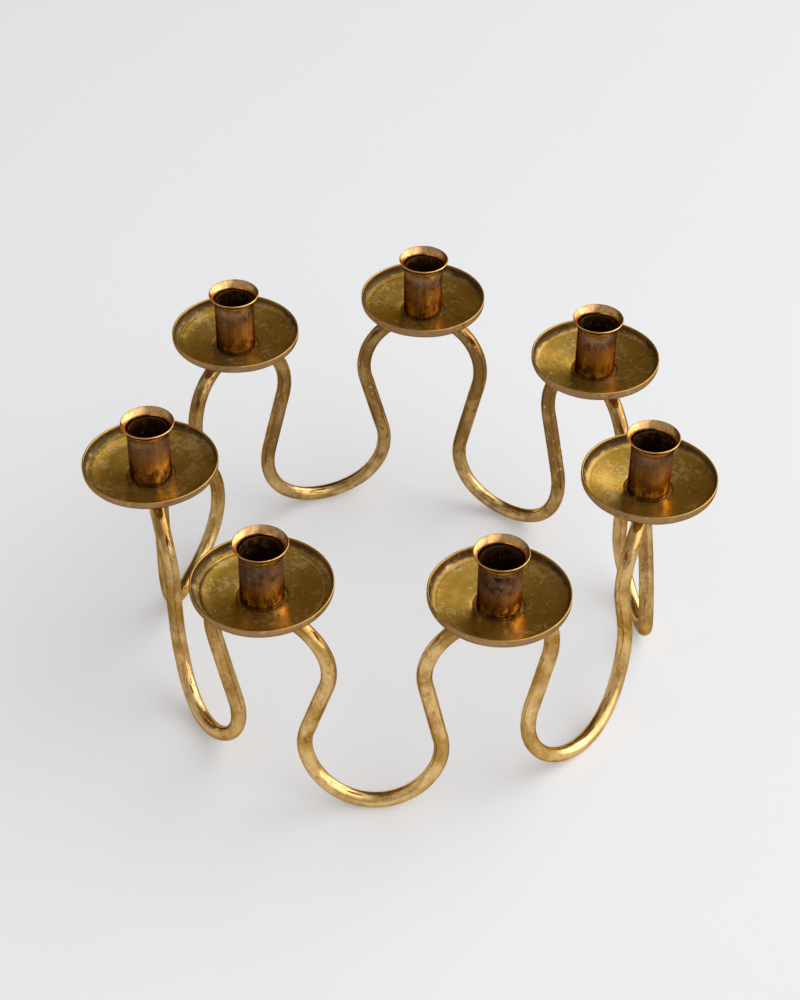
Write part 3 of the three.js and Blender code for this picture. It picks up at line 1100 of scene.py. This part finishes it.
@dataclass
class CandleCup:
    """A turned cup: a tube with a floor, its top rolled outwards into a trumpet lip.

    Attributes:
        layout: Where the parts stand.
        bore: Diameter of the candle's hole.
        wall: Thickness of the wall.
        height: From the foot to the lip.
        floor: Thickness of the floor.
        lip_radius: Outside of the lip.
        lip_turn: How far the lip turns outwards from upright.
        lip_bend: Radius of the roll, on the outside of the cup.
        chamfer: Chamfer round the foot.
        head_radius: Radius of the screw's countersunk head, with its clearance.
        head_depth: Depth of the countersink.
        hole_radius: Radius of the screw's hole.
        edge_round: Rounding of the edges round the screw.
        foot_round: Rounding of the foot's edges.
        lip_round: Rounding of the lip's edges.
        floor_round: Rounding between floor and bore.
        squash: Share by which the tube isn't quite round.
        flare: Share of the height from which the wall's middle runs outwards.
        brown_filmed_and_shaded: Shares of the height at which the brown film and painted shade start and are
            full.
        rubbing_and_light: How far candles rub the inside of the lip.
        lit_and_rubbed: Shares of the height at which that starts and is full.
        lip_wear: How far the lip's edge is rubbed.
        foot_shade_and_dirt: How dark the cup is drawn round its foot: dirt, and painted shade.
        shade_and_dirt_reach: How far that reaches.
        soot_and_shade: How dark each cup is drawn on the outside, from 0 to 1: soot, and painted shade.
        sides: Points round the cup.
    """

    layout: RingLayout
    bore: float = 0.022
    wall: float = 0.0009
    height: float = 0.038
    floor: float = 0.003
    lip_radius: float = 0.0152
    lip_turn: float = math.radians(60)
    lip_bend: float = 0.006
    chamfer: float = 0.0005
    head_radius: float = 0.00405
    head_depth: float = 0.002
    hole_radius: float = 0.0023
    edge_round: float = 0.0001
    foot_round: float = 0.00015
    lip_round: float = 0.0003
    floor_round: float = 0.0004
    squash: float = 0.0012
    flare: float = 0.8
    brown_filmed_and_shaded: Pair = (0.15, 0.6)
    rubbing_and_light: float = 0.65
    lit_and_rubbed: Pair = (0.78, 0.88)
    lip_wear: float = 0.0007
    foot_shade_and_dirt: float = 0.8
    shade_and_dirt_reach: float = 0.0014
    soot_and_shade: tuple[float, ...] = (0.0, 0.15, 0.35, 0.65, 0.6, 0.35, 0.1)
    sides: int = 112

    def outline(self) -> list[Triple]:
        """The section's corners with their fillets, from the hole out under the foot, up and back inside.

        Returns:
            Corners as (radius, height, fillet).
        """
        inside = self.bore / 2
        outside = inside + self.wall
        sine, cosine = math.sin(self.lip_turn), math.cos(self.lip_turn)
        rim_outside = (self.lip_radius, self.height - self.wall * sine)
        rim_inside = (self.lip_radius - self.wall * cosine, self.height)
        outer_corner = rim_outside[1] - (self.lip_radius - outside) * cosine / sine
        inner_corner = rim_inside[1] - (rim_inside[0] - inside) * cosine / sine
        return [
            (self.hole_radius, 0, self.edge_round),
            (outside - self.chamfer, 0, self.foot_round),
            (outside, self.chamfer, self.foot_round),
            (outside, outer_corner, self.lip_bend),
            (*rim_outside, self.lip_round),
            (*rim_inside, self.lip_round),
            (inside, inner_corner, self.lip_bend + self.wall),
            (inside, self.floor, self.floor_round),
            (self.head_radius, self.floor, self.edge_round),
            (self.hole_radius, self.floor - self.head_depth, self.edge_round),
        ]

    def outward(self, profile: np.ndarray) -> np.ndarray:
        """Which side of the wall's middle the points lie on.

        Args:
            profile: The section's points.

        Returns:
            True for each point outside it.
        """
        radius, height = profile.T
        middle = [self.bore / 2 + self.wall / 2, self.lip_radius]
        return radius > np.interp(height, [self.flare * self.height, self.height], middle)

    def brown_film_and_shade(self, profile: np.ndarray) -> np.ndarray:
        """How brown and dark each point of the section is drawn: the outside, towards the top, with brown
        film and painted shade.
        """
        # Brown film and painted shade on the upper outside.
        return smooth_step(profile[:, 1] / self.height, *self.brown_filmed_and_shaded) * self.outward(profile)

    def wear_and_light(self, profile: np.ndarray) -> np.ndarray:
        """The rubbing of the lip's edge, and of its inside by candles.

        Args:
            profile: The section's points.

        Returns:
            How far each point is rubbed, as a column.
        """
        edge = (self.lip_radius - self.wall / 4, self.height - self.wall * 0.4)
        by_candles = smooth_step(profile[:, 1] / self.height, *self.lit_and_rubbed) * ~self.outward(profile)
        return np.maximum(near(profile, edge, self.lip_wear), self.rubbing_and_light * by_candles[:, None])

    def shade_and_grime(self, profile: np.ndarray, arm: int) -> np.ndarray:
        """Dirt and painted shade round the foot, painted shade with soot deepening down the bore, and soot
        with painted shade outside where the cup is drawn darker.

        Args:
            profile: The section's points.
            arm: The crest that carries the cup, from 0.

        Returns:
            How dark each point is drawn, as a column.
        """
        radius, height = profile.T
        # Dirt and painted shade round the foot, where it meets the dish.
        foot = self.foot_shade_and_dirt * near(profile, (self.bore / 2 + self.wall, 0), self.shade_and_dirt_reach)
        # Painted shade, with soot: the bore darkens towards its floor.
        bottom, top, most, slack = 1.7, 0.4, 1.3, 0.0001
        in_bore = radius < self.bore / 2 + slack
        bore = in_bore * np.minimum(bottom + (top - bottom) * height / self.height, most)
        # Soot and painted shade on the cup's upper outside.
        return np.maximum(foot, np.maximum(bore, self.soot_and_shade[arm] * self.brown_film_and_shade(profile))[:, None])

    def mesh(self, arm: int) -> bpy.types.Mesh:
        """Revolves the section and draws it in a little on two sides, as the tube isn't quite round.

        Args:
            arm: The crest that carries the cup, from 0.

        Returns:
            The mesh.
        """
        profile = filleted(self.outline(), arc_steps=10, run_steps=14)
        local = revolved(profile, self.sides)
        turn = np.arctan2(local[..., 1], local[..., 0])
        local[..., :2] *= 1 - self.squash * (1 + np.sin(2 * turn + arm))[..., None]
        masks = {
            WEAR_AND_LIGHT: self.wear_and_light(profile),
            BROWN_FILM_AND_SHADE: self.brown_film_and_shade(profile)[:, None],
            SHADE_AND_GRIME: self.shade_and_grime(profile, arm),
        }
        grid = local + [*self.layout.dishes[arm], self.layout.cup_level]
        space = local + [0, 0, CUP_STEP * (arm + 1)]
        return grid_mesh(f"cup_{arm + 1}", grid, True, space, masks)


@dataclass
class CupScrew:
    """The slotted countersunk screw through a cup and its dish into the crest.

    Attributes:
        layout: Where the parts stand.
        diameter: Outside of the thread.
        length: From the face of the head to the tip.
        head: Diameter of the head.
        head_depth: Depth of the head.
        head_edge: The head's rounded edge, as pairs of how far in and how far down.
        pitch: Pitch of the thread.
        thread_depth: Depth of the thread.
        tip_length: Length of the tapered tip.
        tip_taper: How far the radius tapers there.
        slot_width: Width of the slot.
        slot_depth: Depth of the slot.
        dirt_and_shade: How soiled the screw is outside its slot.
        turn: How far each screw is turned on from the one before, in radians.
        steps: Rings of points along the thread.
        sides: Points round the screw.
    """

    layout: RingLayout
    diameter: float = 0.004
    length: float = 0.0095
    head: float = 0.0075
    head_depth: float = 0.002
    head_edge: tuple[Pair, Pair] = ((0.0002, 0.0001), (0.00032, 0.0))
    pitch: float = 0.0007
    thread_depth: float = 0.00035
    tip_length: float = 0.0006
    tip_taper: float = 0.0005
    slot_width: float = 0.0012
    slot_depth: float = 0.001
    dirt_and_shade: float = 0.25
    turn: float = 1.3
    steps: int = 110
    sides: int = 48

    def mesh(self, arm: int) -> bpy.types.Mesh:
        """The screw's surface: below the head its radius falls by a triangle wave of height less turn.

        Args:
            arm: The crest that takes the screw, from 0.

        Returns:
            The mesh, its slot turned its own way.
        """
        radius = self.diameter / 2
        shank = np.linspace(-self.length, -self.head_depth - self.pitch, self.steps)
        taper = np.clip((shank + self.length) / self.tip_length, 0, 1)
        body = np.column_stack([radius - (1 - taper) * self.tip_taper, shank])
        edge = [(self.head / 2 - inwards, -down) for inwards, down in self.head_edge]
        profile = np.concatenate([body, [(radius, -self.head_depth), *edge]])
        local = revolved(profile, self.sides)
        turn = np.linspace(0, 1, self.sides, endpoint=False)
        phase = (profile[:, 1:] / self.pitch - turn) % 1
        cut = self.thread_depth * np.abs(2 * phase - 1) * (profile[:, 1:] <= shank[-1])
        local[..., :2] *= 1 - (cut / profile[:, :1])[..., None]
        space = local + [0, 0, SCREW_STEP * (arm + 1)]
        masks = {WEAR_AND_LIGHT: 0.0, SHADE_AND_GRIME: self.dirt_and_shade, BROWN_FILM_AND_SHADE: 0.0}
        mesh = grid_mesh(f"screw_{arm + 1}", local, False, space, masks)
        place = Matrix.Translation([*self.layout.dishes[arm], self.layout.floor_level])
        return self.slotted(mesh, place @ Matrix.Rotation(self.turn * arm, 4, "Z"))

    def slotted(self, mesh: bpy.types.Mesh, place: Matrix) -> bpy.types.Mesh:
        """Cuts the slot with a box and puts the screw in its place.

        Args:
            mesh: The screw with a plain head, its face at height zero.
            place: Where it goes.

        Returns:
            The mesh with its slot.
        """
        half = np.array([self.head, self.slot_width / 2, self.slot_depth])
        ring = ((-1, -1), (1, -1), (1, 1), (-1, 1))
        box = half * [[(x, y, level) for x, y in ring] for level in (-1, 1)]
        cutter_mesh = grid_mesh("slot", box, False, box, {WEAR_AND_LIGHT: 0.0, SHADE_AND_GRIME: 1.0, BROWN_FILM_AND_SHADE: 0.0})
        cutter, blank = in_scene("slot", cutter_mesh), in_scene("blank", mesh)
        cut = blank.modifiers.new("slot", "BOOLEAN")
        cut.operation = "DIFFERENCE"
        cut.solver = "EXACT"
        cut.object = cutter
        result = bpy.data.meshes.new_from_object(blank.evaluated_get(bpy.context.evaluated_depsgraph_get()))
        result.transform(place)
        name = mesh.name
        bpy.data.objects.remove(blank)
        bpy.data.objects.remove(cutter)
        bpy.data.meshes.remove(mesh)
        bpy.data.meshes.remove(cutter_mesh)
        result.name = name
        return result


# Finishes

ROD_FINISH = AgedBrass(
    name="rod_aged_brass",
    clean=(0.91, 0.62, 0.255, 1),
    dull=(0.54, 0.30, 0.074, 1),
    dark=(0.34, 0.145, 0.031, 1),
    brown=(0.22, 0.115, 0.032, 1),
    shade_and_grime=(0.05, 0.028, 0.012, 1),
    speck=(0.78, 0.55, 0.28, 1),
    cloud=0.013,
    marks=Marks.ALONG,
    stretch=(0.6, 1.0, 1.0),
    darkness=0.5,
    mottling=0.7,
    blotches=0.5,
    smooth=0.07,
    rough=0.2,
    speck_size=0.0018,
    speck_amount=0.2,
    streaks=0.08,
    streak_width=0.0035,
    edge=(0.54, 0.43, 0.3, 1),
)
DISH_FINISH = AgedBrass(
    name="dish_aged_brass",
    clean=(0.60, 0.36, 0.085, 1),
    dull=(0.46, 0.268, 0.038, 1),
    dark=(0.27, 0.138, 0.019, 1),
    brown=(0.34, 0.2, 0.10, 1),
    shade_and_grime=(0.09, 0.05, 0.018, 1),
    speck=(0.60, 0.46, 0.19, 1),
    cloud=0.018,
    marks=Marks.TURNED,
    dullness=0.6,
    darkness=0.4,
    mottling=0.65,
    blotches=0.68,
    metal=0.9,
    smooth=0.19,
    rough=0.34,
    speck_size=0.0015,
    speck_amount=0.16,
    flake_amount=0.4,
    gathering=1.6,
    streaks=0.1,
    relief=0.000035,
)
CUP_FINISH = AgedBrass(
    name="cup_aged_brass",
    clean=(0.68, 0.40, 0.155, 1),
    dull=(0.30, 0.16, 0.036, 1),
    dark=(0.10, 0.045, 0.02, 1),
    brown=(0.43, 0.25, 0.14, 1),
    shade_and_grime=(0.026, 0.005, 0.0015, 1),
    speck=(0.40, 0.29, 0.17, 1),
    cloud=0.01,
    marks=Marks.UPRIGHT,
    stretch=(1.0, 1.0, 0.6),
    dullness=0.8,
    darkness=0.8,
    mottling=1.1,
    smooth=0.12,
    rough=0.34,
    streak_width=0.0022,
    edge=(0.36, 0.2, 0.11, 1),
)
SCREW_FINISH = AgedBrass(
    name="screw_tarnished_brass",
    clean=(0.5, 0.34, 0.13, 1),
    dull=(0.3, 0.19, 0.07, 1),
    dark=(0.12, 0.07, 0.03, 1),
    brown=(0.2, 0.12, 0.06, 1),
    shade_and_grime=(0.03, 0.018, 0.008, 1),
    speck=(0.35, 0.28, 0.16, 1),
    cloud=0.004,
    marks=Marks.TURNED,
    dullness=0.8,
    darkness=0.5,
)


# The studio


def looking_at(place: Vector, target: Vector, roll: float = 0.0) -> Matrix:
    """The matrix of a lamp or camera at a place that looks at a target.

    Args:
        place: Where it stands.
        target: What it looks at.
        roll: How far it then turns anticlockwise about its own view, in degrees.

    Returns:
        Its world matrix.
    """
    turn = (target - place).to_track_quat("-Z", "Y").to_matrix().to_4x4()
    return Matrix.Translation(place) @ turn @ Matrix.Rotation(math.radians(roll), 4, "Z")


def bearing(azimuth: float, elevation: float) -> Vector:
    """A direction as a vector: (sin a cos e, -cos a cos e, sin e).

    Args:
        azimuth: The angle a in degrees, 0 towards -Y and turning to +X.
        elevation: The angle e in degrees.

    Returns:
        The direction.
    """
    azimuth, elevation = math.radians(azimuth), math.radians(elevation)
    level = math.cos(elevation)
    return Vector((math.sin(azimuth) * level, -math.cos(azimuth) * level, math.sin(elevation)))


@dataclass(frozen=True)
class Softbox:
    """A broad rectangular lamp.

    Attributes:
        name: The lamp's name.
        azimuth: Its bearing from the ring, 0 at the front and turning to the right, in degrees.
        elevation: Its height over the table, in degrees.
        distance: How far away it stands.
        width: Its width.
        height: Its height.
        power: Its power in watts.
    """

    name: str
    azimuth: float
    elevation: float
    distance: float
    width: float
    height: float
    power: float

    def build(self, target: Vector) -> None:
        """Hangs the lamp, turned to the target.

        Args:
            target: What it lights.
        """
        data = bpy.data.lights.new(self.name, "AREA")
        data.shape = "RECTANGLE"
        data.size = self.width
        data.size_y = self.height
        data.energy = self.power
        place = target + self.distance * bearing(self.azimuth, self.elevation)
        in_scene(self.name, data).matrix_world = looking_at(place, target)


@dataclass(frozen=True)
class RoomSide:
    """A side of the room with a light of its own, faded in by a smooth step.

    Attributes:
        azimuth: Bearing of its middle, 0 at the front and turning to the right, in degrees.
        elevation: Height of its middle, in degrees.
        start: Cosine of the angle from its middle at which it starts.
        full: Cosine of the angle from its middle at which it is full.
        colour: Its light.
    """

    azimuth: float
    elevation: float
    start: float
    full: float
    colour: Colour


@dataclass
class Studio:
    """The pale floor, the room's light and the camera of the photograph.

    Attributes:
        layout: Where the ring stands.
        azimuth: The camera's bearing, 0 at the front and turning to the right, in degrees.
        elevation: The camera's height over the table, in degrees.
        distance: From the camera to what it looks at.
        aim_height: Height of the point on the ring's axis that the camera looks at.
        roll: The camera's turn about its view, in degrees.
        sensor_height: Height of the camera's sensor, in millimetres.
        focal_length: Its lens, in millimetres.
        floor_radius: Radius of the floor.
        floor_sides: Corners of the floor's round edge.
        floor_drop: How far it lies under the feet, which then share no plane with it.
        paper: Colour of the floor.
        paper_roughness: Roughness of the floor.
        mottle: Strength of the floor's faint mottle.
        mottle_scale: Its clouds for each metre.
        glow: Share of the floor's look that its shadows don't reach.
        glow_level: Brightness of that share in the middle.
        glow_slope: How it changes along each axis, for a metre.
        glow_range: Its least and greatest brightness.
        room: The room's light.
        sides: The sides of the room with a light of their own.
        lamps: The lamps.
    """

    layout: RingLayout
    azimuth: float = 3.78
    elevation: float = 39.74
    distance: float = 1.2467
    aim_height: float = 0.1095
    roll: float = 0.89
    sensor_height: float = 36.0
    focal_length: float = 76.43
    floor_radius: float = 20.0
    floor_sides: int = 96
    floor_drop: float = 0.00005
    paper: Colour = (0.805, 0.815, 0.835, 1)
    paper_roughness: float = 0.85
    mottle: float = 0.02
    mottle_scale: float = 3.0
    glow: float = 0.2
    glow_level: float = 0.97
    glow_slope: Triple = (0.3, -0.4, 0.0)
    glow_range: Pair = (0.2, 1.0)
    room: Colour = (0.52, 0.52, 0.53, 1)
    sides: tuple[RoomSide, ...] = (
        RoomSide(azimuth=90, elevation=28, start=0.3, full=0.95, colour=(2.0, 2.0, 2.0, 1)),
        RoomSide(azimuth=205, elevation=28, start=0.55, full=0.97, colour=(0.12, 0.08, 0.03, 1)),
    )
    lamps: tuple[Softbox, ...] = (
        Softbox("window", azimuth=121, elevation=28, distance=3.4, width=4.6, height=2.5, power=44),
    )

    def build(self) -> None:
        """Builds the floor, the world, the lamps and the camera."""
        centre = Vector((*self.layout.axis, self.aim_height))
        self.build_floor()
        self.build_world()
        for lamp in self.lamps:
            lamp.build(centre)
        self.build_camera(centre)

    def build_floor(self) -> None:
        """A wide sheet of pale paper under the feet, with a faint mottle.

        The camera and the metal see it partly by a light of its own, which leaves the shadows on it faint.
        """
        turn = np.linspace(0, 2 * math.pi, self.floor_sides, endpoint=False)
        edge = self.floor_radius * np.column_stack([np.cos(turn), np.sin(turn), np.zeros(len(turn))])
        mesh = bpy.data.meshes.new("floor")
        mesh.from_pydata(edge - [0, 0, self.floor_drop], [], [list(range(len(turn)))])
        material = bpy.data.materials.new("pale_paper")
        material.use_nodes = True
        sketch = NodeSketch(material.node_tree)
        place = sketch.node("TexCoord").outputs["Object"]
        clouds = sketch.noise(place, self.mottle_scale)
        shade = sketch.times(clouds, self.mottle, 1 - self.mottle / 2)
        colour = sketch.shaded(self.paper, shade)
        surface = sketch.node("BsdfPrincipled", {"Base Color": colour, "Roughness": self.paper_roughness})
        level = sketch.maths("ADD", sketch.dot(place, self.glow_slope), self.glow_level)
        least, greatest = self.glow_range
        level = sketch.node("Clamp", {"Value": level, "Min": least, "Max": greatest}).outputs[0]
        glow = sketch.node("Emission", {"Color": (1.0, 1.0, 1.0, 1), "Strength": level})
        rays = sketch.node("LightPath").outputs
        seen = sketch.most(rays["Is Camera Ray"], rays["Is Glossy Ray"])
        seen = sketch.most(seen, rays["Is Transmission Ray"])
        share = sketch.times(seen, self.glow)
        both = sketch.node("MixShader", {0: share, 1: surface.outputs[0], 2: glow.outputs[0]})
        sketch.node("OutputMaterial", {"Surface": both.outputs[0]})
        mesh.materials.append(material)
        floor = in_scene("floor", mesh)

    def build_world(self) -> None:
        """A plain room with a pale right side and, behind the table, a warm and dim one."""
        world = bpy.data.worlds.new("room")
        bpy.context.scene.world = world
        world.use_nodes = True
        sketch = NodeSketch(world.node_tree)
        direction = sketch.node("TexCoord").outputs["Generated"]
        colour = self.room
        for side in self.sides:
            middle = tuple(bearing(side.azimuth, side.elevation))
            share = sketch.step(sketch.dot(direction, middle), side.start, side.full)
            colour = sketch.mix(share, colour, side.colour)
        light = sketch.node("Background", {"Color": colour, "Strength": 1.0})
        sketch.node("OutputWorld", {"Surface": light.outputs[0]})

    def build_camera(self, centre: Vector) -> None:
        """The camera of the photograph.

        Args:
            centre: What it looks at.
        """
        data = bpy.data.cameras.new("camera")
        data.sensor_fit = "VERTICAL"
        data.sensor_height = self.sensor_height
        data.lens = self.focal_length
        camera = in_scene("camera", data)
        place = centre + self.distance * bearing(self.azimuth, self.elevation)
        camera.matrix_world = looking_at(place, centre, self.roll)
        bpy.context.scene.camera = camera
        bpy.context.scene.view_settings.view_transform = "Standard"


def main() -> None:
    """Builds the candelabra and its studio."""
    logging.basicConfig(level=logging.INFO, format="%(name)s: %(message)s")
    layout = RingLayout.from_frame()
    effects = SharedEffects()
    sets = (
        (RodRing(layout), "bent_rod", Slot.ROD, ROD_FINISH),
        (DripDish(layout), "drip_dish", Slot.DISH, DISH_FINISH),
        (CandleCup(layout), "candle_cup", Slot.CUP, CUP_FINISH),
        (CupScrew(layout), "cup_screw", Slot.SCREW, SCREW_FINISH),
    )
    for maker, node, slot, finish in sets:
        material = finish.material(effects)
        for arm in range(len(ARMS)):
            add_piece(maker.mesh(arm), f"{node}_{arm + 1}", material)
    Studio(layout).build()


if __name__ == "__main__":
    main()
